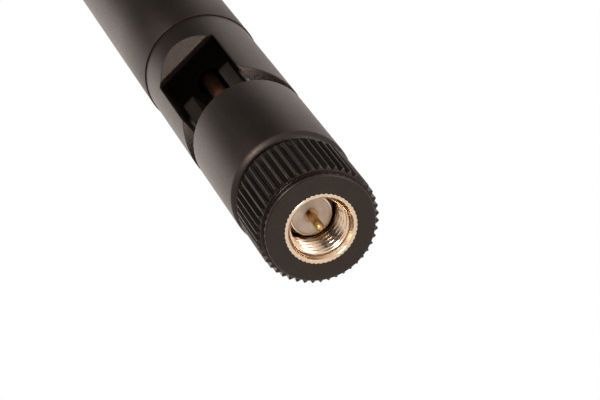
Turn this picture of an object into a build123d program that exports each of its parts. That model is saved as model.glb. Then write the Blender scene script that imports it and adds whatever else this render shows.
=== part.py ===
# Hinged rod antenna with an SMA plug: it tilts in its knuckle and swivels in its coupling nut.
# Millimetres. The origin is the centre of the nut's mating face, +Z runs along the antenna to its tip,
# the hinge axis lies along X, and the antenna tilts towards -Y.
import os
from build123d import *

# Plug interface
sleeve_radius = 2.285
sleeve_wall = 0.255
sleeve_recess = 3.33
sleeve_length = 2.60
pin_radius = 0.457
pin_tip_radius = 0.25
pin_tip_length = 0.40
pin_recess = 0.12
contact_radius = 0.635
contact_length = 10.10
solder_cup_radius = 0.25
solder_cup_depth = 1.70

# Clearances
press_gap = 0.01
running_gap = 0.05
glue_gap = 0.05
seam_gap = 0.05
end_gap = 0.25

# Coupling nut: brass insert
insert_radius = 3.85
insert_recess = 0.05
insert_rear_length = 2.67
thread_bore_radius = 2.945
thread_length = 3.95
lead_in_radius = 3.35
thread_relief_radius = 3.25
thread_relief_length = 0.95

# Coupling nut: moulded grip
grip_lip_height = 0.30
collar_radius = 5.78
collar_length = 0.79
rim_chamfer = 0.20
rib_count = 47
rib_root_radius = 6.02
rib_tip_radius = 6.42
rib_base_width = 0.72
rib_tip_width = 0.10
rib_root_depth = 0.08
rib_front_slope = 0.10
rib_rear_slope = 0.28
rib_rear_margin = 0.45

# Snap ring that keeps the nut on the plug
ring_height = 0.70
ring_width = 0.80
ring_slit_angle = 30.0
ring_setback = 0.97
ring_seat_depth = 0.45

# Connector body behind the sleeve
body_radius = 2.88
shank_radius = 3.60
shank_length = 4.95
spigot_radius = 0.60
spigot_bore_radius = 0.45
spigot_length = 4.00
insulator_length = 7.22
gasket_seat_radius = 2.50
gasket_height = 0.80

# Cable
core_radius = 0.15
dielectric_radius = 0.42
braid_radius = 0.65
jacket_radius = 0.90
crimped_braid_length = 3.70
core_stub = 1.50
braid_strip = 3.00
dielectric_strip = 3.50
core_strip = 4.50
ferrule_wall = 0.32
ferrule_length = 4.10
shrink_wall = 0.27
shrink_overlap = 1.20

# Swivel barrel
barrel_radius = 6.59
barrel_length = 15.25
barrel_lip_depth = 1.00
cable_bore_radius = 1.30
prong_gap = 4.00
prong_thickness = 1.50
prong_radius = 4.00
trunnion_radius = 1.60
trunnion_length = 2.15

# Hinge
hinge_rise = 8.30
washer_radius = 2.60
washer_gap = 0.04

# Hinge fork
fork_radius = 6.65
fork_rise = 12.10
ear_round_rise = 0.35
slot_width = 8.28
slot_top_above_hinge = 6.10
slot_lip_inset = 5.55
slot_lip_width = 0.68
relief_depth = 1.10
relief_rise = 1.80
pocket_height = 2.20
stop_gap = 0.15
socket_skin = 0.90
fork_bore_radius = 1.60
plug_in_length = 12.00
plug_in_bore_radius = 4.30
plug_in_floor = 2.20

# Radome
radome_radius = 6.80
radome_wall = 1.10
radome_tip = 196.00
radome_tip_wall = 3.20
radome_crown_radius = 4.20
radome_crown_height = 3.00
radome_shoulder_inset = 0.75
radome_shoulder_drop = 1.10

# Printed dipole
board_width = 9.20
board_thickness = 0.80
board_tip_gap = 6.80
board_seat_depth = 6.60
board_corner = 1.50
copper_thickness = 0.10
radiator_width = 8.00
radiator_slit_width = 1.00
radiator_slit_inset = 1.30
lower_radiator_inset = 1.70
feed_height = 120.00
feed_gap = 1.60
upper_radiator_inset = 4.00
upper_radiator_neck = 2.20
upper_radiator_flare = 6.00
radiator_slit_margin = 6.00
braid_solder_length = 2.60
braid_solder_width = 2.80
solder_height = 1.15
core_solder_width = 1.80
core_solder_length = 2.00
pad_length = 6.00
pad_width = 7.00
pad_inset = 10.00
pad_spacing = 26.00

# Worked out: plug and nut
contact_start = pin_recess
contact_end = contact_start + contact_length
shoulder_height = sleeve_recess + sleeve_length
gasket_start = shoulder_height - gasket_height
sleeve_bore_radius = sleeve_radius - sleeve_wall
insulator_end = sleeve_recess + insulator_length
insert_end = shoulder_height + insert_rear_length
nut_length = insert_end + grip_lip_height
lead_in_depth = lead_in_radius - thread_bore_radius
thread_end = insert_recess + lead_in_depth + thread_length
relief_end = thread_end + thread_relief_length
insert_bore_radius = body_radius + running_gap
ring_start = shoulder_height + ring_setback
ring_end = ring_start + ring_height
ring_inner_radius = body_radius - ring_seat_depth + running_gap
ring_outer_radius = ring_inner_radius + ring_width
rib_end = nut_length - rib_rear_margin
rib_foot = rib_root_radius - rib_root_depth
rib_tip_start = collar_length + rib_front_slope
rib_tip_end = rib_end - rib_rear_slope
grip_lip_radius = insert_bore_radius + end_gap

# Worked out: barrel and connector body
barrel_bottom = nut_length + end_gap
barrel_top = barrel_bottom + barrel_length
shank_end = barrel_bottom + shank_length
spigot_end = shank_end + spigot_length
braid_inner_radius = spigot_radius + running_gap / 2
ferrule_inner_radius = jacket_radius + running_gap / 2
ferrule_outer_radius = ferrule_inner_radius + ferrule_wall
ferrule_start = spigot_end + end_gap - crimped_braid_length
ferrule_end = ferrule_start + ferrule_length
shrink_inner_radius = ferrule_outer_radius + running_gap / 2
shrink_outer_radius = shrink_inner_radius + shrink_wall
shrink_end = ferrule_end + shrink_overlap
cable_room_radius = shrink_outer_radius + running_gap
cable_room_end = shrink_end + end_gap

# Worked out: hinge and whip
hinge_height = barrel_top + hinge_rise
fork_top = hinge_height + fork_rise
prong_inner = prong_gap / 2
prong_outer = prong_inner + prong_thickness
trunnion_end = prong_outer + trunnion_length
ear_inner = slot_width / 2
socket_radius = trunnion_radius + running_gap
socket_end = fork_radius - socket_skin
slot_top = hinge_height + slot_top_above_hinge
back_wall = prong_radius + stop_gap
pocket_top = slot_top + pocket_height
pocket_front = slot_lip_inset - slot_lip_width
plug_in_end = fork_top + plug_in_length
cavity_floor = fork_top + plug_in_floor
radome_start = fork_top + seam_gap
radome_inner_radius = radome_radius - radome_wall
plug_in_radius = radome_inner_radius - glue_gap
ear_round_height = hinge_height + ear_round_rise
fork_bottom = ear_round_height - fork_radius
copper_face = jacket_radius + glue_gap
board_face = copper_face + copper_thickness
board_back = board_face + board_thickness
board_start = plug_in_end - board_seat_depth
board_top = radome_tip - radome_tip_wall - board_tip_gap
lower_radiator_start = plug_in_end + lower_radiator_inset
upper_radiator_top = board_top - upper_radiator_inset
upper_pad_height = board_top - pad_inset
lower_pad_height = upper_pad_height - pad_spacing

# Worked out: cable ends
cable_start = contact_end - core_stub
dielectric_start = insulator_end + end_gap
jacket_end = feed_height - feed_gap / 2 - dielectric_strip - braid_strip
braid_end = jacket_end + braid_strip
dielectric_end = braid_end + dielectric_strip
cable_end = dielectric_end + core_strip

os.makedirs("parts", exist_ok=True)

# One rib of the grip: a bar that narrows from its foot to its tip and slopes at both ends
with BuildPart() as rib:
    with BuildSketch(Plane.XY.offset(collar_length)):
        Polygon(
            (rib_foot, -rib_base_width / 2),
            (rib_tip_radius, -rib_tip_width / 2),
            (rib_tip_radius, rib_tip_width / 2),
            (rib_foot, rib_base_width / 2),
            align=None,
        )
    extrude(amount=rib_end - collar_length)
    with BuildSketch(Plane.XZ):
        Polygon(
            (rib_foot, collar_length),
            (rib_tip_radius, rib_tip_start),
            (rib_tip_radius, rib_tip_end),
            (rib_foot, rib_end),
            align=None,
        )
    extrude(amount=rib_base_width, both=True, mode=Mode.INTERSECT)

# Ribbed grip of the nut, moulded round the brass insert
with BuildPart() as nut_grip:
    with BuildSketch(Plane.XZ):
        with BuildLine():
            Polyline(
                (0, 0),
                (collar_radius - rim_chamfer, 0),
                (collar_radius, rim_chamfer),
                (collar_radius, collar_length),
                (rib_root_radius, collar_length),
                (rib_root_radius, nut_length),
                (0, nut_length),
                close=True,
            )
        make_face()
    revolve(axis=Axis.Z)
    with PolarLocations(0, rib_count):
        add(rib.part)
    with BuildSketch(Plane.XY):
        Circle(insert_radius + press_gap)
    extrude(amount=insert_end + press_gap, mode=Mode.SUBTRACT)
    with BuildSketch(Plane.XY):
        Circle(grip_lip_radius)
    extrude(amount=nut_length, mode=Mode.SUBTRACT)
nut_grip.part.label = "nut_grip"
export_step(nut_grip.part, "parts/nut_grip.step")

# Brass insert with the thread, its relief and the snap-ring groove; the thread is left plain at its pitch size
with BuildPart() as nut_insert:
    with BuildSketch(Plane.XZ):
        with BuildLine():
            Polyline(
                (insert_radius, insert_recess),
                (insert_radius, insert_end),
                (insert_bore_radius, insert_end),
                (insert_bore_radius, ring_end + running_gap),
                (ring_outer_radius + running_gap, ring_end + running_gap),
                (ring_outer_radius + running_gap, ring_start - running_gap),
                (insert_bore_radius, ring_start - running_gap),
                (insert_bore_radius, relief_end),
                (thread_relief_radius, relief_end),
                (thread_relief_radius, thread_end),
                (thread_bore_radius, thread_end),
                (thread_bore_radius, insert_recess + lead_in_depth),
                (lead_in_radius, insert_recess),
                close=True,
            )
        make_face()
    revolve(axis=Axis.Z)
nut_insert.part.label = "nut_insert"
export_step(nut_insert.part, "parts/nut_insert.step")

# Split snap ring, half in the body's groove and half in the nut's
with BuildPart() as retaining_ring:
    with BuildSketch(Plane.XY.offset(ring_start)):
        Circle(ring_outer_radius)
        Circle(ring_inner_radius, mode=Mode.SUBTRACT)
    extrude(amount=ring_height)
    with BuildSketch(Plane.XZ):
        with BuildLine():
            Polyline(
                (0, ring_start),
                (ring_outer_radius + running_gap, ring_start),
                (ring_outer_radius + running_gap, ring_end),
                (0, ring_end),
                close=True,
            )
        make_face()
    revolve(axis=Axis.Z, revolution_arc=ring_slit_angle, mode=Mode.SUBTRACT)
retaining_ring.part.label = "retaining_ring"
export_step(retaining_ring.part, "parts/retaining_ring.step")

# Outer conductor: thin sleeve, shoulder, ring groove, shank in the barrel and crimp spigot
with BuildPart() as connector_body:
    with BuildSketch(Plane.XZ):
        with BuildLine():
            Polyline(
                (sleeve_bore_radius, sleeve_recess),
                (sleeve_radius, sleeve_recess),
                (sleeve_radius, gasket_start),
                (gasket_seat_radius, gasket_start),
                (gasket_seat_radius, shoulder_height),
                (body_radius, shoulder_height),
                (body_radius, ring_start - running_gap),
                (body_radius - ring_seat_depth, ring_start - running_gap),
                (body_radius - ring_seat_depth, ring_end + running_gap),
                (body_radius, ring_end + running_gap),
                (body_radius, barrel_bottom),
                (shank_radius, barrel_bottom),
                (shank_radius, shank_end),
                (spigot_radius, shank_end),
                (spigot_radius, spigot_end),
                (spigot_bore_radius, spigot_end),
                (spigot_bore_radius, insulator_end + press_gap),
                (sleeve_bore_radius, insulator_end + press_gap),
                close=True,
            )
        make_face()
    revolve(axis=Axis.Z)
connector_body.part.label = "connector_body"
export_step(connector_body.part, "parts/connector_body.step")

# White insulator between the sleeve and the contact
with BuildPart() as insulator:
    with BuildSketch(Plane.XZ):
        with BuildLine():
            Polyline(
                (contact_radius + press_gap, sleeve_recess),
                (sleeve_bore_radius - press_gap, sleeve_recess),
                (sleeve_bore_radius - press_gap, insulator_end),
                (contact_radius + press_gap, insulator_end),
                close=True,
            )
        make_face()
    revolve(axis=Axis.Z)
insulator.part.label = "insulator"
export_step(insulator.part, "parts/insulator.step")

# Gold contact: bare pin in front, thicker shank in the insulator, solder cup behind
with BuildPart() as centre_contact:
    with BuildSketch(Plane.XZ):
        with BuildLine():
            Polyline(
                (0, contact_start),
                (pin_tip_radius, contact_start),
                (pin_radius, contact_start + pin_tip_length),
                (pin_radius, sleeve_recess),
                (contact_radius, sleeve_recess),
                (contact_radius, contact_end),
                (solder_cup_radius, contact_end),
                (solder_cup_radius, contact_end - solder_cup_depth),
                (0, contact_end - solder_cup_depth),
                close=True,
            )
        make_face()
    revolve(axis=Axis.Z)
centre_contact.part.label = "centre_contact"
export_step(centre_contact.part, "parts/centre_contact.step")

# Soft gasket on the shoulder round the sleeve's root
with BuildPart() as face_gasket:
    with BuildSketch(Plane.XY.offset(gasket_start)):
        Circle(body_radius - press_gap)
        Circle(gasket_seat_radius + press_gap, mode=Mode.SUBTRACT)
    extrude(amount=gasket_height - press_gap)
face_gasket.part.label = "face_gasket"
export_step(face_gasket.part, "parts/face_gasket.step")

# Crimp ferrule over the braid on the spigot
with BuildPart() as crimp_ferrule:
    with BuildSketch(Plane.XY.offset(ferrule_start)):
        Circle(ferrule_outer_radius)
        Circle(ferrule_inner_radius, mode=Mode.SUBTRACT)
    extrude(amount=ferrule_length)
crimp_ferrule.part.label = "crimp_ferrule"
export_step(crimp_ferrule.part, "parts/crimp_ferrule.step")

# Heat-shrink sleeve over the ferrule and the cable's end
with BuildPart() as heat_shrink:
    with BuildSketch(Plane.XY.offset(ferrule_start)):
        Circle(shrink_outer_radius)
        Circle(shrink_inner_radius, mode=Mode.SUBTRACT)
    extrude(amount=shrink_end - ferrule_start)
heat_shrink.part.label = "heat_shrink"
export_step(heat_shrink.part, "parts/heat_shrink.step")

# Swivel barrel with its two hinge prongs and their trunnions
with BuildPart() as barrel:
    with BuildSketch(Plane.XZ):
        with BuildLine():
            Polyline(
                (barrel_radius - barrel_lip_depth, barrel_bottom),
                (barrel_radius - barrel_lip_depth * 0.44, barrel_bottom + barrel_lip_depth * 0.12),
                (barrel_radius - barrel_lip_depth * 0.12, barrel_bottom + barrel_lip_depth * 0.44),
                (barrel_radius, barrel_bottom + barrel_lip_depth),
                (barrel_radius, barrel_top),
                (cable_bore_radius, barrel_top),
                (cable_bore_radius, cable_room_end),
                (cable_room_radius, cable_room_end),
                (cable_room_radius, shank_end + press_gap),
                (shank_radius + press_gap, shank_end + press_gap),
                (shank_radius + press_gap, barrel_bottom),
                close=True,
            )
        make_face()
    revolve(axis=Axis.Z)
    with BuildSketch(Plane.YZ.offset(prong_inner), Plane.YZ.offset(-prong_outer)):
        with Locations((0, hinge_height)):
            Circle(prong_radius)
        with Locations((0, (barrel_top + hinge_height) / 2)):
            Rectangle(2 * prong_radius, hinge_height - barrel_top)
    extrude(amount=prong_thickness)
    with BuildSketch(Plane.YZ.offset(prong_outer - prong_thickness / 2)):
        with Locations((0, hinge_height)):
            Circle(trunnion_radius)
    extrude(amount=trunnion_end - prong_outer + prong_thickness / 2)
    with BuildSketch(Plane.YZ.offset(-trunnion_end)):
        with Locations((0, hinge_height)):
            Circle(trunnion_radius)
    extrude(amount=trunnion_end - prong_outer + prong_thickness / 2)
barrel.part.label = "barrel"
export_step(barrel.part, "parts/barrel.step")

# Friction washers between the prongs and the fork's ears
with BuildPart() as hinge_washers:
    washer_thickness = ear_inner - prong_outer - 2 * washer_gap
    with BuildSketch(
        Plane.YZ.offset(prong_outer + washer_gap), Plane.YZ.offset(-ear_inner + washer_gap)
    ):
        with Locations((0, hinge_height)):
            Circle(washer_radius)
            Circle(trunnion_radius + running_gap, mode=Mode.SUBTRACT)
    extrude(amount=washer_thickness)
hinge_washers.part.label = "hinge_washers"
export_step(hinge_washers.part, "parts/hinge_washers.step")

# Coaxial cable, straight from the contact's cup through the hinge to the feed point
with BuildPart() as coax_cable:
    with BuildSketch(Plane.XZ):
        with BuildLine():
            Polyline(
                (0, cable_start),
                (core_radius, cable_start),
                (core_radius, dielectric_start),
                (dielectric_radius, dielectric_start),
                (dielectric_radius, spigot_end + running_gap),
                (braid_inner_radius, spigot_end + running_gap),
                (braid_inner_radius, ferrule_start),
                (jacket_radius, ferrule_start),
                (jacket_radius, jacket_end),
                (braid_radius, jacket_end),
                (braid_radius, braid_end),
                (dielectric_radius, braid_end),
                (dielectric_radius, dielectric_end),
                (core_radius, dielectric_end),
                (core_radius, cable_end),
                (0, cable_end),
                close=True,
            )
        make_face()
    revolve(axis=Axis.Z)
coax_cable.part.label = "coax_cable"
export_step(coax_cable.part, "parts/coax_cable.step")

# Hinge fork: full-round ears, the slot for the prongs, its D-shaped relief and the plug-in end
with BuildPart() as hinge_fork:
    with BuildSketch(Plane.XY.offset(fork_bottom)):
        Circle(fork_radius)
    extrude(amount=fork_top - fork_bottom)
    with BuildSketch(Plane.YZ):
        with Locations((0, ear_round_height)):
            Circle(fork_radius)
        with Locations((0, (ear_round_height + fork_top) / 2)):
            Rectangle(2 * fork_radius, fork_top - ear_round_height)
    extrude(amount=fork_radius, both=True, mode=Mode.INTERSECT)
    with BuildSketch(Plane.XY.offset(fork_top)):
        Circle(plug_in_radius)
    extrude(amount=plug_in_length)
    with BuildSketch(Plane.YZ):
        with BuildLine():
            Polyline(
                (back_wall, fork_bottom - end_gap),
                (back_wall, pocket_top),
                (-pocket_front, pocket_top),
                (-pocket_front, slot_top),
                (-2 * fork_radius, slot_top),
                (-2 * fork_radius, fork_bottom - end_gap),
                close=True,
            )
        make_face()
    extrude(amount=slot_width / 2, both=True, mode=Mode.SUBTRACT)
    with BuildSketch(Plane.YZ):
        with BuildLine():
            Polyline(
                (-slot_lip_inset, slot_top),
                (-slot_lip_inset - 2 * relief_depth, slot_top + 2 * relief_rise),
                (-slot_lip_inset - 2 * relief_depth, slot_top),
                close=True,
            )
        make_face()
    extrude(amount=fork_radius, both=True, mode=Mode.SUBTRACT)
    with BuildSketch(Plane.YZ.offset(ear_inner - end_gap), Plane.YZ.offset(-socket_end)):
        with Locations((0, hinge_height)):
            Circle(socket_radius)
    extrude(amount=socket_end - ear_inner + end_gap, mode=Mode.SUBTRACT)
    with BuildSketch(Plane.XY.offset(pocket_top - end_gap)):
        Circle(fork_bore_radius)
    extrude(amount=cavity_floor - pocket_top + 2 * end_gap, mode=Mode.SUBTRACT)
    with BuildSketch(Plane.XY.offset(cavity_floor)):
        Circle(plug_in_bore_radius)
    extrude(amount=plug_in_end - cavity_floor, mode=Mode.SUBTRACT)
    with BuildSketch(Plane.XY.offset(board_start - glue_gap)):
        with Locations((0, (board_face + board_back) / 2)):
            Rectangle(board_width + 2 * glue_gap, board_thickness + 2 * glue_gap)
    extrude(amount=board_seat_depth + glue_gap, mode=Mode.SUBTRACT)
hinge_fork.part.label = "hinge_fork"
export_step(hinge_fork.part, "parts/hinge_fork.step")

# Radome: one closed moulded tube over the fork's plug-in end, drawn in at the tip
with BuildPart() as radome:
    with BuildSketch(Plane.XZ):
        with BuildLine():
            Polyline(
                (radome_inner_radius, radome_start),
                (radome_radius, radome_start),
                (radome_radius, radome_tip - radome_crown_height),
                (radome_radius - radome_shoulder_inset, radome_tip - radome_shoulder_drop),
                (radome_crown_radius, radome_tip),
                (0, radome_tip),
                (0, radome_tip - radome_tip_wall),
                (radome_inner_radius, radome_tip - radome_tip_wall),
                close=True,
            )
        make_face()
    revolve(axis=Axis.Z)
radome.part.label = "radome"
export_step(radome.part, "parts/radome.step")

# Printed board beside the cable
with BuildPart() as board:
    with BuildSketch(Plane.XZ.offset(-board_back)):
        with BuildLine():
            Polyline(
                (-board_width / 2, board_start),
                (board_width / 2, board_start),
                (board_width / 2, board_top - board_corner),
                (board_width / 2 - board_corner, board_top),
                (-board_width / 2 + board_corner, board_top),
                (-board_width / 2, board_top - board_corner),
                close=True,
            )
        make_face()
    extrude(amount=board_thickness)
board.part.label = "board"
export_step(board.part, "parts/board.step")

# Lower arm of the dipole, slit from below so that it chokes the cable
with BuildPart() as lower_radiator:
    lower_length = feed_height - feed_gap / 2 - lower_radiator_start
    with BuildSketch(Plane.XZ.offset(-board_face)):
        with Locations((0, lower_radiator_start + lower_length / 2)):
            Rectangle(radiator_width, lower_length)
        slit_length = lower_length - radiator_slit_margin
        slit_place = radiator_width / 2 - radiator_slit_inset - radiator_slit_width / 2
        with Locations(
            (slit_place, lower_radiator_start + slit_length / 2),
            (-slit_place, lower_radiator_start + slit_length / 2),
        ):
            Rectangle(radiator_slit_width, slit_length, mode=Mode.SUBTRACT)
    extrude(amount=copper_thickness)
lower_radiator.part.label = "lower_radiator"
export_step(lower_radiator.part, "parts/lower_radiator.step")

# Upper arm of the dipole, flared from its neck
with BuildPart() as upper_radiator:
    upper_start = feed_height + feed_gap / 2
    with BuildSketch(Plane.XZ.offset(-board_face)):
        with BuildLine():
            Polyline(
                (-upper_radiator_neck / 2, upper_start),
                (upper_radiator_neck / 2, upper_start),
                (radiator_width / 2, upper_start + upper_radiator_flare),
                (radiator_width / 2, upper_radiator_top),
                (-radiator_width / 2, upper_radiator_top),
                (-radiator_width / 2, upper_start + upper_radiator_flare),
                close=True,
            )
        make_face()
    extrude(amount=copper_thickness)
upper_radiator.part.label = "upper_radiator"
export_step(upper_radiator.part, "parts/upper_radiator.step")

# Solder that joins the braid to the lower arm
with BuildPart() as braid_solder:
    with BuildSketch(Plane.XZ.offset(-copper_face)):
        with Locations((0, (jacket_end + braid_end) / 2)):
            Rectangle(braid_solder_width, braid_solder_length)
    extrude(amount=solder_height)
    with BuildSketch(Plane.XY.offset(jacket_end)):
        Circle(braid_radius + press_gap)
    extrude(amount=braid_strip, mode=Mode.SUBTRACT)
braid_solder.part.label = "braid_solder"
export_step(braid_solder.part, "parts/braid_solder.step")

# Solder that joins the core to the upper arm
with BuildPart() as core_solder:
    core_solder_middle = feed_height + feed_gap / 2 + end_gap + core_solder_length / 2
    with BuildSketch(Plane.XZ.offset(-copper_face)):
        with Locations((0, core_solder_middle)):
            Rectangle(core_solder_width, core_solder_length)
    extrude(amount=solder_height)
    with BuildSketch(Plane.XY.offset(dielectric_end)):
        Circle(core_radius + press_gap)
    extrude(amount=core_strip, mode=Mode.SUBTRACT)
core_solder.part.label = "core_solder"
export_step(core_solder.part, "parts/core_solder.step")

# Foam pads between the board's back and the radome, so that the board doesn't rattle
with BuildPart() as foam_pads:
    pad_start = board_back + glue_gap
    pad_end = (radome_inner_radius**2 - pad_width**2 / 4) ** 0.5 - glue_gap
    with BuildSketch(Plane.XY.offset(lower_pad_height), Plane.XY.offset(upper_pad_height)):
        with Locations((0, (pad_start + pad_end) / 2)):
            Rectangle(pad_width, pad_end - pad_start)
    extrude(amount=pad_length)
foam_pads.part.label = "foam_pads"
export_step(foam_pads.part, "parts/foam_pads.step")
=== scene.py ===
import math

import bmesh
import bpy
from mathutils import Matrix, Vector


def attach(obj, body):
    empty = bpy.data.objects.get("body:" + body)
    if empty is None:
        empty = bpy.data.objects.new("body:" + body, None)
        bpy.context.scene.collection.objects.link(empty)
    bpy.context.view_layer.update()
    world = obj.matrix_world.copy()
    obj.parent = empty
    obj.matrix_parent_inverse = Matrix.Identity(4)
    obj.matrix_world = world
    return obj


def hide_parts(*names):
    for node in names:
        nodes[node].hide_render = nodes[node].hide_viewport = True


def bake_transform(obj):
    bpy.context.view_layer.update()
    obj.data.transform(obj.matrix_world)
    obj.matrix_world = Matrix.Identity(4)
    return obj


mm = 0.001
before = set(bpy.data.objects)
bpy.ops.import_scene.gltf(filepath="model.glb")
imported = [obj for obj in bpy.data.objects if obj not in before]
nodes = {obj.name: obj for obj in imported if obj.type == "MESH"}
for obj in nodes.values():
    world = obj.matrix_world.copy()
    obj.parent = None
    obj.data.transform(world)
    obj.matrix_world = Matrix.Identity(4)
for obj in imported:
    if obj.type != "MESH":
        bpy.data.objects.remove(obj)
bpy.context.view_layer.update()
print("frame loaded:", len(nodes), "nodes")

# the photograph's view: it looks up the antenna from just below its plug
cameraView = {
    "place": (0.022206, -0.129974, -0.225994),
    "right": (0.701750, 0.648572, -0.294796),
    "up": (0.707598, -0.586436, 0.394208),
    "back": (0.082794, -0.485232, -0.870457),
    "lens": 157.97, "sensor": 36, "clipStart": 0.01,
}


def makeCamera(look):
    data = bpy.data.cameras.new("photoCamera")
    data.lens = look["lens"]
    data.sensor_width = look["sensor"]
    data.clip_start = look["clipStart"]
    camera = bpy.data.objects.new("photoCamera", data)
    bpy.context.scene.collection.objects.link(camera)
    turn = Matrix((look["right"], look["up"], look["back"])).transposed()
    camera.matrix_world = Matrix.Translation(look["place"]) @ turn.to_4x4()
    bpy.context.scene.camera = camera


makeCamera(cameraView)
print("camera made")


# a small wrapper keeps the wiring of materials and geometry nodes readable
class NodeSheet:
    def __init__(self, tree):
        self.tree = tree

    def add(self, kind, settings=None, **inputs):
        node = self.tree.nodes.new(kind)
        for key, value in (settings or {}).items():
            setattr(node, key, value)
        for key, value in inputs.items():
            self.feed(node, key, value)
        return node

    # key is a socket's name or its place in the list; value is another socket or a plain value
    def feed(self, node, key, value):
        if isinstance(value, bpy.types.NodeSocket):
            self.tree.links.new(value, node.inputs[key])
        else:
            node.inputs[key].default_value = value

    def math(self, operation, a, b=0.0):
        node = self.add("ShaderNodeMath", {"operation": operation})
        self.feed(node, 0, a)
        self.feed(node, 1, b)
        return node.outputs[0]

    def rangeOf(self, value, low, high, toLow=0.0, toHigh=1.0, smooth=True):
        node = self.add("ShaderNodeMapRange", {"interpolation_type": "SMOOTHSTEP" if smooth else "LINEAR"})
        keys = ("Value", "From Min", "From Max", "To Min", "To Max")
        for key, given in zip(keys, (value, low, high, toLow, toHigh)):
            self.feed(node, key, given)
        return node.outputs[0]

    def mixColour(self, factor, a, b):
        node = self.add("ShaderNodeMix", {"data_type": "RGBA"})
        self.feed(node, 0, factor)
        for key, colour in ((6, a), (7, b)):
            self.feed(node, key, colour if isinstance(colour, bpy.types.NodeSocket) else (*colour, 1.0))
        return node.outputs[2]

    def noise(self, place, scale, detail=3.0):
        return self.add("ShaderNodeTexNoise", Vector=place, Scale=scale, Detail=detail).outputs[0]

    def split(self, vector):
        return self.add("ShaderNodeSeparateXYZ", Vector=vector).outputs

    def radius(self, x, y):
        return self.math("SQRT", self.math("ADD", self.math("MULTIPLY", x, x), self.math("MULTIPLY", y, y)))

    def facing(self, direction, towards):
        node = self.add("ShaderNodeVectorMath", {"operation": "DOT_PRODUCT"})
        self.feed(node, 0, direction)
        self.feed(node, 1, Vector(towards).normalized())
        return node.outputs["Value"]


# the emptied node tree of a material or of the world
def emptySheet(owner):
    owner.use_nodes = True
    owner.node_tree.nodes.clear()
    return NodeSheet(owner.node_tree)


def startMaterial(name):
    material = bpy.data.materials.new(name)
    sheet = emptySheet(material)
    shader = sheet.add("ShaderNodeBsdfPrincipled")
    sheet.feed(sheet.add("ShaderNodeOutputMaterial"), 0, shader.outputs[0])
    return material, sheet, shader


noiseRange = (0.3, 0.7)  # nearly all of a noise lies in it


# roughness follows a noise, within spread of the look's own; the bump lies over the faces or over corner
def wireShader(sheet, shader, look, colour, noise, height, spread=(-0.04, 0.06), corner=None):
    rough = sheet.rangeOf(noise, *noiseRange, look["roughness"] + spread[0], look["roughness"] + spread[1])
    bump = sheet.add("ShaderNodeBump", Strength=1.0, Distance=1.0, Height=height)
    if corner:
        sheet.feed(bump, "Normal", corner.outputs[0])
    for key, value in (("Base Color", colour), ("Roughness", rough), ("Normal", bump.outputs[0])):
        sheet.feed(shader, key, value)


# moulded black plastic: spark-eroded grain, coarser on faces that look down the axis, faint flow mottling
plasticLook = {
    "colour": (0.0140, 0.0112, 0.0098), "mottle": (0.0190, 0.0155, 0.0138), "mottlePerMetre": 420.0,
    "mottleRange": (0.35, 0.70), "roughness": 0.40, "specularTint": (1.0, 0.84, 0.74),
    "grainPerMetre": 6000.0, "sideGrain": 0.000014, "endGrain": 0.000026, "endRange": (-0.25, -0.50),
    "speckleRange": (0.47, 0.60), "lineRange": (0.000064, 0.000016), "lineFade": 0.0001,
    "lineHeight": 0.000008, "lineHighlight": (0.022, 0.019, 0.017), "lineHighlightShare": 0.5,
}
smoothLook = {
    **plasticLook, "colour": (0.0105, 0.0084, 0.0074), "mottle": (0.0140, 0.0115, 0.0102), "roughness": 0.30,
}
plasticLooks = {
    "gripPlastic": {**smoothLook, "edgeRound": 0.00002, "endGrain": 0.000006},
    "barrelPlastic": {**plasticLook, "edgeRound": 0.00008, "endGrain": 0.000012, "lineRadius": 0.00645},
    "forkPlastic": {**plasticLook, "edgeRound": 0.00024, "endGrain": 0.00007, "lineRadius": 0.00652,
                    "speckle": (0.030, 0.025, 0.021)},
    "radomePlastic": {**plasticLook, "edgeRound": 0.00008, "lineRadius": 0.00667},
}


def makePlastic(name, look):
    material, sheet, shader = startMaterial(name)
    coord = sheet.add("ShaderNodeTexCoord")
    x, y = sheet.split(coord.outputs["Object"])[:2]
    grain = sheet.noise(coord.outputs["Object"], look["grainPerMetre"])
    mottle = sheet.noise(coord.outputs["Object"], look["mottlePerMetre"], 4.0)
    colour = sheet.mixColour(sheet.rangeOf(mottle, *look["mottleRange"]), look["colour"], look["mottle"])
    endFace = sheet.rangeOf(sheet.split(coord.outputs["Normal"])["Z"], *look["endRange"])
    # light specks on faces that look down the axis: partly the grain's own tone, partly painted light on
    # those lit faces
    if "speckle" in look:
        share = sheet.math("MULTIPLY", endFace, sheet.rangeOf(grain, *look["speckleRange"]))
        colour = sheet.mixColour(share, colour, look["speckle"])
    depth = sheet.rangeOf(endFace, 0.0, 1.0, look["sideGrain"], look["endGrain"])
    height = sheet.math("MULTIPLY", grain, depth)
    if "lineRadius" in look:
        # parting line of the two mould halves, only on the round outside: a bump, and a painted highlight in
        # its lighter colour
        outside = sheet.rangeOf(sheet.radius(x, y), look["lineRadius"] - look["lineFade"], look["lineRadius"])
        line = sheet.math("MULTIPLY", sheet.rangeOf(sheet.math("ABSOLUTE", x), *look["lineRange"]), outside)
        height = sheet.math("ADD", height, sheet.math("MULTIPLY", line, look["lineHeight"]))
        # painted highlight along the parting line's ridge
        colour = sheet.mixColour(sheet.math("MULTIPLY", line, look["lineHighlightShare"]), colour, look["lineHighlight"])
    corner = sheet.add("ShaderNodeBevel", {"samples": 6}, Radius=look["edgeRound"])
    wireShader(sheet, shader, look, colour, grain, height, corner=corner)
    shader.inputs["Specular Tint"].default_value = (*look["specularTint"], 1.0)
    return material
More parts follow.
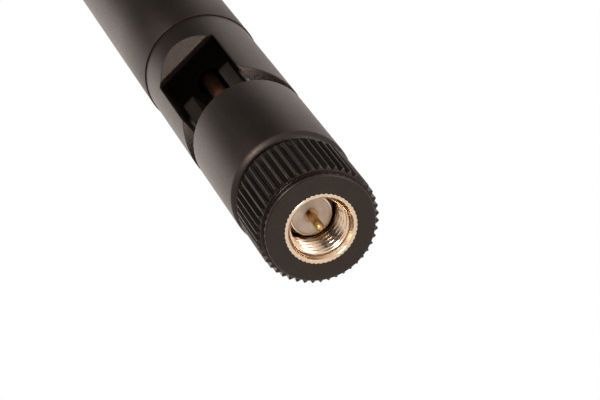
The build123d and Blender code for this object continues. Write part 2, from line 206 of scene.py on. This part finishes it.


# plated and plain metals: fine turning marks run round the axis, and "root" is painted shade,
# which darkens them towards the deep end, where little light reaches
metalLook = {
    "stainPerMetre": 500.0, "stainRange": (0.50, 0.80), "ringsPerMetre": 15000.0,
    "finePerMetre": 5000.0, "fineHeight": 0.0000003, "rootFade": 0.0012,
}
plating = {"colour": (0.88, 0.74, 0.58), "stain": (0.74, 0.58, 0.42), "roughness": 0.20, "turned": 0.0000006}
metalLooks = {
    "goldBrass": plating,
    # "root" in nutBrass and contactGold is painted shade towards the deep end
    "nutBrass": {**plating, "root": (0.30, 0.20, 0.125), "rootStart": 0.0038},
    "contactGold": {"colour": (0.66, 0.45, 0.21), "stain": (0.30, 0.17, 0.06), "roughness": 0.26,
                    "turned": 0.0000014, "root": (0.50, 0.31, 0.14), "rootStart": 0.0032},
    "springBronze": {"colour": (0.42, 0.25, 0.12), "stain": (0.30, 0.17, 0.08), "roughness": 0.32,
                     "turned": 0.0000010},
    "nickel": {"colour": (0.52, 0.50, 0.46), "stain": (0.40, 0.38, 0.35), "roughness": 0.28,
               "turned": 0.0000010},
    "copper": {"colour": (0.72, 0.32, 0.17), "stain": (0.50, 0.22, 0.12), "roughness": 0.34, "turned": 0.0},
    "solder": {"colour": (0.55, 0.55, 0.56), "stain": (0.40, 0.40, 0.41), "roughness": 0.30, "turned": 0.0},
}


def makeMetal(name, look):
    material, sheet, shader = startMaterial(name)
    place = sheet.add("ShaderNodeTexCoord").outputs["Object"]
    along = sheet.split(place)["Z"]
    stain = sheet.noise(place, look["stainPerMetre"], 4.0)
    fine = sheet.noise(place, look["finePerMetre"])
    rings = sheet.add("ShaderNodeTexNoise", {"noise_dimensions": "1D"}, W=along, Detail=2.0,
                      Scale=look["ringsPerMetre"])
    colour = sheet.mixColour(sheet.rangeOf(stain, *look["stainRange"]), look["colour"], look["stain"])
    # painted shade: the colour darkens towards "rootStart", deeper in the bore
    if "root" in look:
        paintedShade = sheet.rangeOf(along, look["rootStart"] - look["rootFade"], look["rootStart"])
        colour = sheet.mixColour(paintedShade, colour, look["root"])
    marks = sheet.math("MULTIPLY", rings.outputs[0], look["turned"])
    height = sheet.math("ADD", marks, sheet.math("MULTIPLY", fine, look["fineHeight"]))
    wireShader(sheet, shader, look, colour, fine, height)
    shader.inputs["Metallic"].default_value = 1.0
    return material


# waxy, rubbery and foamed finishes; "core" is painted shade that darkens the middle, round the pin in the
# insulator
softLooks = {
    "whiteInsulator": {"colour": (0.58, 0.49, 0.41), "spot": (0.51, 0.42, 0.345), "roughness": 0.42,
                       "scale": 900.0, "height": 0.000002, "core": (0.40, 0.28, 0.17),
                       "coreShadeFade": (0.00110, 0.0005), "coreShadeShare": 0.85},
    "gasketRubber": {"colour": (0.24, 0.155, 0.10), "spot": (0.30, 0.19, 0.12), "roughness": 0.70,
                     "scale": 4000.0, "height": 0.000006},
    "washerNylon": {"colour": (0.012, 0.011, 0.010), "spot": (0.018, 0.017, 0.016), "roughness": 0.45,
                    "scale": 3000.0, "height": 0.000004},
    "shrinkTube": {"colour": (0.010, 0.010, 0.010), "spot": (0.018, 0.018, 0.018), "roughness": 0.50,
                   "scale": 1200.0, "height": 0.000010},
    "cableJacket": {"colour": (0.30, 0.135, 0.068), "spot": (0.20, 0.085, 0.042), "roughness": 0.36,
                    "scale": 900.0, "height": 0.000004},
    "boardLaminate": {"colour": (0.050, 0.110, 0.040), "spot": (0.070, 0.140, 0.055), "roughness": 0.36,
                      "scale": 2200.0, "height": 0.000004},
    "foam": {"colour": (0.045, 0.045, 0.048), "spot": (0.015, 0.015, 0.016), "roughness": 0.95,
             "scale": 2600.0, "height": 0.000120},
}
spotRange = (0.40, 0.70)


def makeSoft(name, look):
    material, sheet, shader = startMaterial(name)
    place = sheet.add("ShaderNodeTexCoord").outputs["Object"]
    spots = sheet.noise(place, look["scale"], 4.0)
    colour = sheet.mixColour(sheet.rangeOf(spots, *spotRange), look["colour"], look["spot"])
    # painted shade and reflection: the middle darkens round the pin's base
    if "core" in look:
        x, y = sheet.split(place)[:2]
        middle = sheet.rangeOf(sheet.radius(x, y), *look["coreShadeFade"], 0.0, look["coreShadeShare"])
        colour = sheet.mixColour(middle, colour, look["core"])
    height = sheet.math("MULTIPLY", spots, look["height"])
    wireShader(sheet, shader, look, colour, spots, height, spread=(-0.05, 0.05))
    return material


plastics = {name: makePlastic(name, look) for name, look in plasticLooks.items()}
metals = {name: makeMetal(name, {**metalLook, **look}) for name, look in metalLooks.items()}
softs = {name: makeSoft(name, look) for name, look in softLooks.items()}
print("materials made")


def shade(mesh, sharp):
    mesh.shade_smooth()
    mesh.set_sharp_from_angle(angle=math.radians(sharp))


def addMesh(name, points, faces, material, sharp=32.0):
    mesh = bpy.data.meshes.new(name)
    mesh.from_pydata([(x * mm, y * mm, z * mm) for x, y, z in points], [], faces)
    mesh.update()
    shade(mesh, sharp)
    obj = bpy.data.objects.new(name, mesh)
    bpy.context.scene.collection.objects.link(obj)
    mesh.materials.append(material)
    return obj


# points of an arc, also for a rounded corner in a profile
def arcPoints(centreA, centreB, radius, fromDeg, toDeg, steps=5):
    angles = [math.radians(fromDeg + (toDeg - fromDeg) * i / steps) for i in range(steps + 1)]
    return [(centreA + radius * math.cos(a), centreB + radius * math.sin(a)) for a in angles]


# a turned piece: the profile runs once round the cut face, radius then height, upwards on the outside
def turned(name, profile, material, around=128, sharp=32.0):
    points, faces, rings = [], [], []
    for r, z in profile:
        if r < 1e-6:
            rings.append([len(points)] * around)
            points.append((0.0, 0.0, z))
            continue
        rings.append(list(range(len(points), len(points) + around)))
        for k in range(around):
            a = 2 * math.pi * k / around
            points.append((r * math.cos(a), r * math.sin(a), z))
    for here, there in zip(rings, rings[1:] + rings[:1]):
        if here[0] == here[1] and there[0] == there[1]:
            continue
        for k in range(around):
            n = (k + 1) % around
            faces.append(tuple(dict.fromkeys((here[k], here[n], there[n], there[k]))))
    return addMesh(name, points, faces, material, sharp)


# one section of a stamp on the +X side at height z, from half of its outline: radius, then half width
def stampRow(half, z):
    return [(r, -w, z) for r, w in half] + [(r, w, z) for r, w in reversed(half)]


# joins rows of points, each a closed section, into a solid bar
def skinned(name, rows, material):
    wide = len(rows[0])
    points = [p for row in rows for p in row]
    faces = [tuple(range(wide - 1, -1, -1)), tuple(range(len(points) - wide, len(points)))]
    for start in range(0, len(points) - wide, wide):
        for k in range(wide):
            n = (k + 1) % wide
            faces.append((start + k, start + n, start + wide + n, start + wide + k))
    return addMesh(name, points, faces, material)


def finishPiece(piece, body, node):
    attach(piece, body)
    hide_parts(node)


def startNodes(name, inputs):
    tree = bpy.data.node_groups.new(name, "GeometryNodeTree")
    tree.interface.new_socket("Geometry", in_out="INPUT", socket_type="NodeSocketGeometry")
    sockets = {
        label: tree.interface.new_socket(label, in_out="INPUT", socket_type="NodeSocket" + kind).identifier
        for label, kind in inputs.items()
    }
    tree.interface.new_socket("Geometry", in_out="OUTPUT", socket_type="NodeSocketGeometry")
    sheet = NodeSheet(tree)
    return tree, sockets, sheet, sheet.add("NodeGroupInput").outputs


def endNodes(sheet, geometry, finish):
    real = sheet.add("GeometryNodeRealizeInstances", Geometry=geometry)
    coated = sheet.add("GeometryNodeSetMaterial", Geometry=real.outputs[0], Material=finish)
    sheet.feed(sheet.add("NodeGroupOutput"), 0, coated.outputs[0])


# repeats a stamp round the axis and joins it to its core
def ringTree():
    inputs = {"Count": "Int", "Stamp": "Object", "Start angle": "Float", "Finish": "Material"}
    tree, sockets, sheet, given = startNodes("stampRing", inputs)
    dots = sheet.add("GeometryNodePoints", Count=given["Count"])
    index = sheet.add("GeometryNodeInputIndex").outputs[0]
    step = sheet.math("DIVIDE", 2 * math.pi, given["Count"])
    turn = sheet.math("ADD", sheet.math("MULTIPLY", index, step), given["Start angle"])
    euler = sheet.add("ShaderNodeCombineXYZ", Z=turn)
    spin = sheet.add("FunctionNodeEulerToRotation", Euler=euler.outputs[0])
    stamp = sheet.add("GeometryNodeObjectInfo", {"transform_space": "ORIGINAL"}, Object=given["Stamp"])
    copies = sheet.add("GeometryNodeInstanceOnPoints", Points=dots.outputs[0],
                       Instance=stamp.outputs["Geometry"], Rotation=spin.outputs[0])
    joined = sheet.add("GeometryNodeJoinGeometry")
    sheet.feed(joined, 0, given["Geometry"])
    sheet.feed(joined, 0, copies.outputs[0])
    endNodes(sheet, joined.outputs[0], given["Finish"])
    return tree, sockets


# cuts a right-handed helical groove into a bore, down to the thread's major radius
def threadTree():
    lengths = ("Pitch", "Major", "End", "Run out")
    inputs = {**{label: "Float" for label in lengths}, "Finish": "Material"}
    tree, sockets, sheet, given = startNodes("helixThread", inputs)
    x, y, z = sheet.split(sheet.add("GeometryNodeInputPosition").outputs[0])
    turn = sheet.math("DIVIDE", sheet.math("ARCTAN2", y, x), 2 * math.pi)
    phase = sheet.math("SUBTRACT", sheet.math("DIVIDE", z, given["Pitch"]), turn)
    saw = sheet.math("PINGPONG", sheet.math("MULTIPLY", phase, 2.0), 1.0)
    flat = 0.12  # share of the pitch that stays flat at the crest, and at the root
    flank = sheet.rangeOf(saw, flat, 1.0 - flat, smooth=False)
    radius = sheet.radius(x, y)
    room = sheet.math("MAXIMUM", sheet.math("SUBTRACT", given["Major"], radius), 0.0)
    fadeStart = sheet.math("SUBTRACT", given["End"], given["Run out"])
    fade = sheet.rangeOf(z, given["End"], fadeStart, smooth=False)
    push = sheet.math("MULTIPLY", sheet.math("MULTIPLY", flank, room), fade)
    outwardX, outwardY = sheet.math("DIVIDE", x, radius), sheet.math("DIVIDE", y, radius)
    outward = sheet.add("ShaderNodeCombineXYZ", X=outwardX, Y=outwardY)
    shift = sheet.add("ShaderNodeVectorMath", {"operation": "SCALE"}, Scale=push)
    sheet.feed(shift, 0, outward.outputs[0])
    moved = sheet.add("GeometryNodeSetPosition", Geometry=given["Geometry"], Offset=shift.outputs[0])
    endNodes(sheet, moved.outputs[0], given["Finish"])
    return tree, sockets


# runs a tree on core and leaves a plain mesh in the same object
def applyNodes(core, build, values, sharp=32.0, stamp=None):
    tree, sockets = build
    modifier = core.modifiers.new("build", "NODES")
    modifier.node_group = tree
    for label, value in values.items():
        modifier[sockets[label]] = value
    bpy.context.view_layer.update()
    graph = bpy.context.evaluated_depsgraph_get()
    mesh = bpy.data.meshes.new_from_object(core.evaluated_get(graph))
    core.modifiers.remove(modifier)
    old = core.data
    core.data = mesh
    bpy.data.meshes.remove(old)
    if stamp:
        bpy.data.objects.remove(stamp)
    shade(mesh, sharp)
    return core


ringNodes, threadNodes = ringTree(), threadTree()

# ribbed grip of the coupling nut; stations are heights along a rib and the share of its rise there
grip = {
    "length": 8.90, "mouth": 3.835, "mouthDepth": 0.28, "bore": 3.86, "boreStart": 0.30, "boreEnd": 8.61,
    "lip": 3.18, "collar": 5.79, "rim": 0.19, "step": 0.03,
    "root": 6.02, "rootStart": 0.79, "rootEdge": 0.04, "rear": 0.15,
    "ribs": 47, "firstRib": 0.0, "foot": 5.94, "footHalf": 0.36, "tip": 6.42, "tipHalf": 0.055,
    "shoulder": (0.05, 0.035), "crownDrop": 0.012, "crownShares": (0.8, 0.3),
    "stations": ((0.80, 0.15), (0.84, 0.48), (0.89, 0.85), (0.93, 0.97), (1.03, 1.0),
                 (8.07, 1.0), (8.22, 0.93), (8.35, 0.62), (8.45, 0.10)),
}


def makeGrip(g):
    collar, root, start, end, rear = g["collar"], g["root"], g["rootStart"], g["length"], g["rear"]
    profile = [(g["mouth"], 0.0)] + arcPoints(collar - g["rim"], g["rim"], g["rim"], -90, 0)
    profile += [(collar, start - g["step"]), (collar + g["step"], start)]
    profile += [(root - g["rootEdge"], start), (root, start + g["rootEdge"])]
    profile += arcPoints(root - rear, end - rear, rear, 0, 90, 3)
    profile += [(g["lip"], end), (g["lip"], g["boreEnd"]), (g["bore"], g["boreEnd"])]
    profile += [(g["bore"], g["boreStart"]), (g["mouth"], g["mouthDepth"])]
    finish = plastics["gripPlastic"]
    core = turned("nutGrip", profile, finish, around=188)
    drop, grow = g["shoulder"]
    wide, narrow = g["crownShares"]
    rows = []
    for z, share in g["stations"]:
        top = g["foot"] + (g["tip"] - g["foot"]) * share
        half = g["footHalf"] + (g["tipHalf"] - g["footHalf"]) * share
        crown = [(top - g["crownDrop"], half * wide), (top, half * narrow)]
        rows.append(stampRow([(g["foot"], g["footHalf"]), (top - drop, half + grow)] + crown, z))
    rib = skinned("ribStamp", rows, finish)
    values = {"Count": g["ribs"], "Stamp": rib, "Start angle": g["firstRib"], "Finish": finish}
    return applyNodes(core, ringNodes, values, sharp=28.0, stamp=rib)


finishPiece(makeGrip(grip), "coupling_nut", "nut_grip")

# gold-plated insert with the thread and the serrated end ring; firstTooth is in degrees, and toothRows
# are heights along a tooth and how far its tip lies back there
insert = {
    "front": -0.10, "rear": 8.60, "outer": 3.85, "crown": 3.75, "crownLength": 0.75, "crownStep": 0.05,
    "edge": 0.04, "mouth": 3.44, "mouthDepth": 0.03, "leadEnd": 1.02, "leadRows": 22,
    "minor": 2.80, "major": 3.175, "pitch": 0.7056, "threadEnd": 4.405, "runOut": 0.35, "boreRows": 72,
    "relief": 3.25, "reliefEdge": (0.10, 0.02), "reliefEnd": 5.355,
    "rearBore": 2.93, "ringGroove": 3.33, "grooveLow": 6.85, "grooveHigh": 7.65,
    "teeth": 48, "firstTooth": 5.56, "toothTip": 3.83, "toothTipHalf": 0.065, "toothFoot": 3.76,
    "toothFill": 0.92, "toothNarrow": 0.8, "toothRows": ((-0.09, 0.03), (-0.06, 0.0), (0.75, 0.0)),
}


def makeInsert(g):
    front, crown, outer, edge = g["front"], g["crown"], g["outer"], g["edge"]
    rear, groove, relief, end, minor = g["rearBore"], g["ringGroove"], g["relief"], g["threadEnd"], g["minor"]
    profile = [(crown - edge, front), (crown, front + edge), (crown, g["crownLength"])]
    profile += [(outer, g["crownLength"] + g["crownStep"]), (outer, g["rear"]), (rear, g["rear"])]
    profile += [(rear, g["grooveHigh"]), (groove, g["grooveHigh"]), (groove, g["grooveLow"])]
    profile += [(rear, g["grooveLow"]), (rear, g["reliefEnd"]), (relief, g["reliefEnd"])]
    profile += [(relief, end + g["reliefEdge"][1]), (relief - g["reliefEdge"][0], end)]
    low, high, lead = front + g["mouthDepth"], g["leadEnd"], g["mouth"] - minor
    profile += [(minor, end - (end - high) * i / g["boreRows"]) for i in range(g["boreRows"] + 1)]
    for k in range(1, g["leadRows"] + 1):
        share = k / g["leadRows"]
        profile.append((minor + lead * share, high - (high - low) * share))
    profile += [(g["mouth"] + edge, front)]
    finish = metals["nutBrass"]
    core = turned("nutInsert", profile, finish, around=192, sharp=30.0)
    lengths = {"Pitch": g["pitch"], "Major": g["major"], "End": end, "Run out": g["runOut"]}
    values = {label: length * mm for label, length in lengths.items()}
    core = applyNodes(core, threadNodes, {**values, "Finish": finish})
    half = math.pi * crown / g["teeth"] * g["toothFill"]
    rows = []
    for z, drop in g["toothRows"]:
        foot = [(crown - edge, half), (g["toothFoot"], half * g["toothNarrow"])]
        rows.append(stampRow(foot + [(g["toothTip"] - drop, g["toothTipHalf"])], z))
    tooth = skinned("toothStamp", rows, finish)
    start = math.radians(g["firstTooth"])
    values = {"Count": g["teeth"], "Stamp": tooth, "Start angle": start, "Finish": finish}
    return applyNodes(core, ringNodes, values, sharp=30.0, stamp=tooth)


finishPiece(makeInsert(insert), "coupling_nut", "nut_insert")
print("coupling nut made")

# outer conductor: a thin sleeve in front, the gasket's seat, a groove for the snap ring and a shank
conductor = {
    "front": 3.33, "sleeve": 2.285, "sleeveEdge": (0.08, 0.104), "sleeveBore": 2.03, "boreEdge": 0.03,
    "boreEnd": 10.56, "seat": 2.50, "seatStart": 5.13, "body": 2.88, "shoulder": 5.93,
    "groove": 2.43, "grooveLow": 6.85, "grooveHigh": 7.65, "shank": 3.60, "shankStart": 9.15,
    "shankEnd": 14.10, "spigot": 0.60, "spigotBore": 0.45, "spigotEnd": 18.10,
}


def makeConductor(g):
    front, sleeve, seat, body = g["front"], g["sleeve"], g["seat"], g["body"]
    bore, edge, spigot = g["sleeveBore"], g["boreEdge"], g["spigot"]
    profile = [(bore + edge, front), (sleeve - g["sleeveEdge"][0], front)]
    profile += [(sleeve, front + g["sleeveEdge"][1]), (sleeve, g["seatStart"]), (seat, g["seatStart"])]
    profile += [(seat, g["shoulder"]), (body, g["shoulder"]), (body, g["grooveLow"])]
    profile += [(g["groove"], g["grooveLow"]), (g["groove"], g["grooveHigh"]), (body, g["grooveHigh"])]
    profile += [(body, g["shankStart"]), (g["shank"], g["shankStart"]), (g["shank"], g["shankEnd"])]
    profile += [(spigot, g["shankEnd"]), (spigot, g["spigotEnd"]), (g["spigotBore"], g["spigotEnd"])]
    profile += [(g["spigotBore"], g["boreEnd"]), (bore, g["boreEnd"]), (bore, front + edge)]
    return turned("connectorBody", profile, metals["goldBrass"], around=96)


finishPiece(makeConductor(conductor), "base", "connector_body")

# insulator between the sleeve and the contact
plug = {"front": 3.33, "end": 10.55, "outer": 2.02, "bore": 0.645, "edge": 0.02}


def makePlug(g):
    front, outer, bore, edge = g["front"], g["outer"], g["bore"], g["edge"]
    profile = [(bore + edge, front), (outer - edge, front), (outer, front + edge)]
    profile += [(outer, g["end"]), (bore, g["end"]), (bore, front + edge)]
    return turned("insulatorPlug", profile, softs["whiteInsulator"], around=96)


finishPiece(makePlug(plug), "base", "insulator")

# centre contact: its pin's front as radius and height, and a cup for the cable's core behind
contact = {
    "tip": ((0.0, 0.12), (0.20, 0.12), (0.25, 0.17), (0.437, 0.49), (0.457, 0.57)),
    "pin": 0.457, "rootStart": 3.33, "root": 0.635, "end": 10.22, "cup": 0.25, "cupStart": 8.52,
}


def makeContact(g):
    profile = list(g["tip"]) + [(g["pin"], g["rootStart"]), (g["root"], g["rootStart"])]
    profile += [(g["root"], g["end"]), (g["cup"], g["end"]), (g["cup"], g["cupStart"]), (0.0, g["cupStart"])]
    return turned("centrePin", profile, metals["contactGold"], around=48)


finishPiece(makeContact(contact), "base", "centre_contact")

# soft ring round the sleeve's root
gasket = {"front": 5.13, "end": 5.92, "inner": 2.51, "outer": 2.87, "edge": 0.05}


def makeGasket(g):
    front, inner, outer, edge = g["front"], g["inner"], g["outer"], g["edge"]
    profile = [(inner, front + edge), (inner + edge, front), (outer - edge, front), (outer, front + edge)]
    profile += [(outer, g["end"]), (inner, g["end"])]
    return turned("faceGasket", profile, softs["gasketRubber"], around=96)


finishPiece(makeGasket(gasket), "base", "face_gasket")
print("plug made")

# swivel barrel with its prongs and trunnions; chamfer is its front edge, radius and height
barrel = {
    "chamfer": ((5.94, 9.15), (6.14, 9.22), (6.52, 9.649), (6.5725, 9.74), (6.59, 9.845)),
    "low": 9.15, "top": 24.40, "radius": 6.59, "rim": 0.12, "shankBore": 3.61, "shankEnd": 14.11,
    "cableRoom": 1.59, "roomEnd": 20.20, "cableBore": 1.30, "boreEdge": 0.10,
    "hinge": 32.70, "prongInner": 2.00, "prongOuter": 3.50, "prongRadius": 4.00,
    "prongRound": 0.10, "prongSunk": 0.10,
    "trunnion": 1.60, "trunnionEnd": 5.65, "trunnionRound": 0.06, "trunnionSunk": 0.30,
}


# a bar along X between two outlines in Y and Z, with rounded long edges
def addBar(bm, outline, low, high, rounded):
    count = len(outline)
    inward = []
    for i in range(count):
        before, after = Vector(outline[i - 1]), Vector(outline[(i + 1) % count])
        side = after - before
        inward.append(Vector((-side.y, side.x)).normalized())
    soft = rounded * 0.3
    steps = ((low, rounded), (low + soft, soft), (low + rounded, 0.0),
             (high - rounded, 0.0), (high - soft, soft), (high, rounded))
    rings = []
    for x, inset in steps:
        ring = [Vector(p) + n * inset for p, n in zip(outline, inward)]
        rings.append([bm.verts.new((x * mm, q.x * mm, q.y * mm)) for q in ring])
    for here, there in zip(rings, rings[1:]):
        for k in range(count):
            n = (k + 1) % count
            bm.faces.new((here[k], there[k], there[n], here[n]))
    bm.faces.new(rings[0])
    bm.faces.new(list(reversed(rings[-1])))


def makeBarrel(g):
    top, bore, shank, edge = g["top"], g["cableBore"], g["shankBore"], g["boreEdge"]
    profile = [(shank, g["low"])] + list(g["chamfer"])
    profile += arcPoints(g["radius"] - g["rim"], top - g["rim"], g["rim"], 0, 90, 4)
    profile += [(bore + edge, top), (bore, top - edge), (bore, g["roomEnd"])]
    profile += [(g["cableRoom"], g["roomEnd"]), (g["cableRoom"], g["shankEnd"]), (shank, g["shankEnd"])]
    core = turned("swivelBarrel", profile, plastics["barrelPlastic"], around=160)
    reach, sunk, trunnionStart = g["prongRadius"], top - g["prongSunk"], g["prongOuter"] - g["trunnionSunk"]
    prong = arcPoints(0.0, g["hinge"], reach, 0, 180, steps=32) + [(-reach, sunk), (reach, sunk)]
    trunnion = arcPoints(0.0, g["hinge"], g["trunnion"], 0, 360, steps=40)[:-1]
    bm = bmesh.new()
    bm.from_mesh(core.data)
    for side in (-1, 1):
        addBar(bm, prong, *sorted((side * g["prongInner"], side * g["prongOuter"])), g["prongRound"])
        addBar(bm, trunnion, *sorted((side * trunnionStart, side * g["trunnionEnd"])), g["trunnionRound"])
    bmesh.ops.recalc_face_normals(bm, faces=bm.faces)
    bm.to_mesh(core.data)
    bm.free()
    shade(core.data, 32.0)
    return core


finishPiece(makeBarrel(barrel), "base", "barrel")
print("barrel made")

# cable: radius and height of each step, from the contact's cup to the feed point
cable = {
    "hingeLow": 26.5, "hingeHigh": 41.0, "rowLength": 0.45, "bendTop": 60.0,
    "profile": (
        (0.15, 8.72), (0.15, 10.80), (0.42, 10.80), (0.42, 18.15), (0.625, 18.15), (0.625, 14.65),
        (0.90, 14.65), (0.90, 112.70), (0.65, 112.70), (0.65, 115.70), (0.42, 115.70), (0.42, 119.20),
        (0.15, 119.20), (0.15, 123.70),
    ),
}


# below bendTop the steps are cut into short rows, so the mesh is fine round the hinge
def makeCable(g):
    steps = g["profile"]
    profile = [(0.0, steps[0][1])]
    for (r0, z0), (r1, z1) in zip(steps, steps[1:]):
        top = min(z1, g["bendTop"])
        rows = max(1, int(abs(top - z0) / g["rowLength"])) if z0 < g["bendTop"] else 1
        profile += [(r0 + (r1 - r0) * k / rows, z0 + (top - z0) * k / rows) for k in range(rows)]
        if top < z1 and z0 < g["bendTop"]:
            profile.append((r1, top))
    profile += [steps[-1], (0.0, steps[-1][1])]
    piece = turned("coaxCable", profile, softs["cableJacket"], around=32)
    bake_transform(piece)
    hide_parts("coax_cable")


makeCable(cable)
print("cable made")

# radome: one closed tube over the fork's plug-in end; foot is its lower edge, radius and height,
# and tip the three corners that its round end follows
radome = {
    "low": 44.81, "outer": 6.80, "inner": 5.70, "innerEnd": 192.80, "end": 196.0,
    "foot": ((6.77, 44.81), (6.779, 44.85)), "straight": (44.90, 192.0), "rows": 12,
    "tip": ((6.80, 192.0), (6.67, 195.85), (3.0, 196.0)), "tipSteps": 14,
}


def tipCurve(corners, steps):
    start, middle, end = (Vector(corner) for corner in corners)
    curve = []
    for k in range(1, steps + 1):
        t = k / steps
        curve.append(tuple(start * (1 - t) ** 2 + middle * 2 * t * (1 - t) + end * t * t))
    return curve


def makeRadome(g):
    low, high = g["straight"]
    profile = [(g["inner"], g["low"])] + list(g["foot"])
    profile += [(g["outer"], low + (high - low) * k / g["rows"]) for k in range(g["rows"] + 1)]
    profile += tipCurve(g["tip"], g["tipSteps"])
    profile += [(0.0, g["end"]), (0.0, g["innerEnd"]), (g["inner"], g["innerEnd"])]
    return turned("radomeTube", profile, plastics["radomePlastic"], around=160, sharp=35.0)


finishPiece(makeRadome(radome), "whip", "radome")
print("radome made")

# finishes of the solids that stay
finishes = {
    "hinge_fork": plastics["forkPlastic"], "retaining_ring": metals["springBronze"],
    "crimp_ferrule": metals["nickel"], "heat_shrink": softs["shrinkTube"],
    "hinge_washers": softs["washerNylon"], "board": softs["boardLaminate"],
    "lower_radiator": metals["copper"], "upper_radiator": metals["copper"],
    "braid_solder": metals["solder"], "core_solder": metals["solder"], "foam_pads": softs["foam"],
}
for name, material in finishes.items():
    for slot in nodes[name].material_slots:
        slot.material = material

# plain floor: white from above, clear from below, because the photograph looks up past it
stage = {"size": 1.2, "drop": 0.2, "colour": 0.92, "glow": 0.55}


def makeFloor(g):
    half, z = g["size"] / mm, -g["drop"]
    material = bpy.data.materials.new("paleFloor")
    corners = [(-half, -half, z), (half, -half, z), (half, half, z), (-half, half, z)]
    floor = addMesh("floor", corners, [(0, 1, 2, 3)], material)
    sheet = emptySheet(material)
    plain = sheet.add("ShaderNodeBsdfDiffuse", Color=(*(g["colour"],) * 3, 1.0))
    glow = sheet.add("ShaderNodeEmission", Color=(1.0, 1.0, 1.0, 1.0), Strength=g["glow"])
    lit, pick = sheet.add("ShaderNodeAddShader"), sheet.add("ShaderNodeMixShader")
    clear, side = sheet.add("ShaderNodeBsdfTransparent"), sheet.add("ShaderNodeNewGeometry")
    sheet.feed(lit, 0, plain.outputs[0])
    sheet.feed(lit, 1, glow.outputs[0])
    for key, socket in enumerate((side.outputs["Backfacing"], lit.outputs[0], clear.outputs[0])):
        sheet.feed(pick, key, socket)
    sheet.feed(sheet.add("ShaderNodeOutputMaterial"), 0, pick.outputs[0])
    floor.visible_shadow = False
    floor.visible_diffuse = False
    floor.visible_glossy = False
    floor.visible_transmission = False


# white tent round the object, brighter past the whip's tip; mirrored rays also meet two dark gaps,
# one on the plug's side and one past the tip, and a shaded part past the tip at +X
tent = {
    "white": 1.0, "tint": (1.0, 0.90, 0.84), "ambient": 0.10,
    "plugSide": 0.84, "tipSide": 1.45, "wallRange": (0.2, 0.8),
    "gaps": (
        {"towards": (-0.04, -0.480, -0.876), "edge": 0.79, "full": 0.91, "dark": 0.97},
        {"towards": (0.09, -0.54, 0.84), "edge": 0.71, "full": 0.95, "dark": 0.97},
    ),
    "rightShade": 0.40, "rightRange": (-0.15, 0.25), "tipRange": (0.3, 0.7),
}


def makeWorld(g):
    world = bpy.data.worlds.new("studio")
    bpy.context.scene.world = world
    sheet = emptySheet(world)
    path = sheet.add("ShaderNodeLightPath").outputs
    direction = sheet.add("ShaderNodeTexCoord").outputs["Generated"]
    parts = sheet.split(direction)
    walls = sheet.rangeOf(parts["Z"], *g["wallRange"], g["plugSide"], g["tipSide"])
    for gap in g["gaps"]:
        near = sheet.facing(direction, gap["towards"])
        light = sheet.rangeOf(near, gap["edge"], gap["full"], 1.0, 1.0 - gap["dark"])
        walls = sheet.math("MULTIPLY", light, walls)
    right = sheet.rangeOf(parts["X"], *g["rightRange"])
    pastTip = sheet.rangeOf(parts["Z"], *g["tipRange"])
    loss = sheet.math("MULTIPLY", sheet.math("MULTIPLY", right, pastTip), g["rightShade"])
    walls = sheet.math("MULTIPLY", walls, sheet.math("SUBTRACT", 1.0, loss))
    mirrored = sheet.math("MAXIMUM", path["Is Glossy Ray"], path["Is Transmission Ray"])
    level = sheet.add("ShaderNodeMix", {"data_type": "FLOAT"})
    for key, value in ((0, mirrored), (2, g["ambient"]), (3, walls)):
        sheet.feed(level, key, value)
    seen = path["Is Camera Ray"]
    strength = sheet.math("MAXIMUM", level.outputs[0], sheet.math("MULTIPLY", seen, g["white"]))
    colour = sheet.mixColour(seen, g["tint"], (1.0, 1.0, 1.0))
    background = sheet.add("ShaderNodeBackground", Color=colour, Strength=strength)
    sheet.feed(sheet.add("ShaderNodeOutputWorld"), 0, background.outputs[0])


# each lamp: direction from lampAim on the part's axes, distance and size in metres, power in watts,
# and whether mirrored and matt rays meet it
lampAim = (0.0, 0.0, 0.02)
lamps = {
    "frontHigh": {"towards": (-0.06, -0.91, 0.42), "away": 0.65, "size": 0.22, "watts": 0.75,
                  "mirrored": True, "matt": True},
    "frontLow": {"towards": (-0.02, -0.90, -0.435), "away": 0.60, "size": 0.24, "watts": 2.3,
                 "mirrored": True, "matt": False},
    "rightSoft": {"towards": (0.68, 0.03, -0.73), "away": 0.66, "size": 0.32, "watts": 1.1,
                  "mirrored": True, "matt": True},
    "plugSoft": {"towards": (-0.10, 0.28, -0.95), "away": 0.50, "size": 0.30, "watts": 1.15,
                 "mirrored": False, "matt": True},
}


def makeLamps(table, tint):
    for name, g in table.items():
        data = bpy.data.lights.new(name, "AREA")
        data.shape = "DISK"
        data.size = g["size"]
        data.energy = g["watts"]
        data.color = tint
        lamp = bpy.data.objects.new(name, data)
        bpy.context.scene.collection.objects.link(lamp)
        offset = Vector(g["towards"]).normalized() * g["away"]
        lamp.location = Vector(lampAim) + offset
        lamp.rotation_euler = (-offset).to_track_quat("-Z", "Y").to_euler()
        lamp.visible_glossy = g["mirrored"]
        lamp.visible_diffuse = g["matt"]


makeFloor(stage)
makeWorld(tent)
makeLamps(lamps, tent["tint"])
bpy.context.scene.view_settings.view_transform = "Standard"
print("stage made")
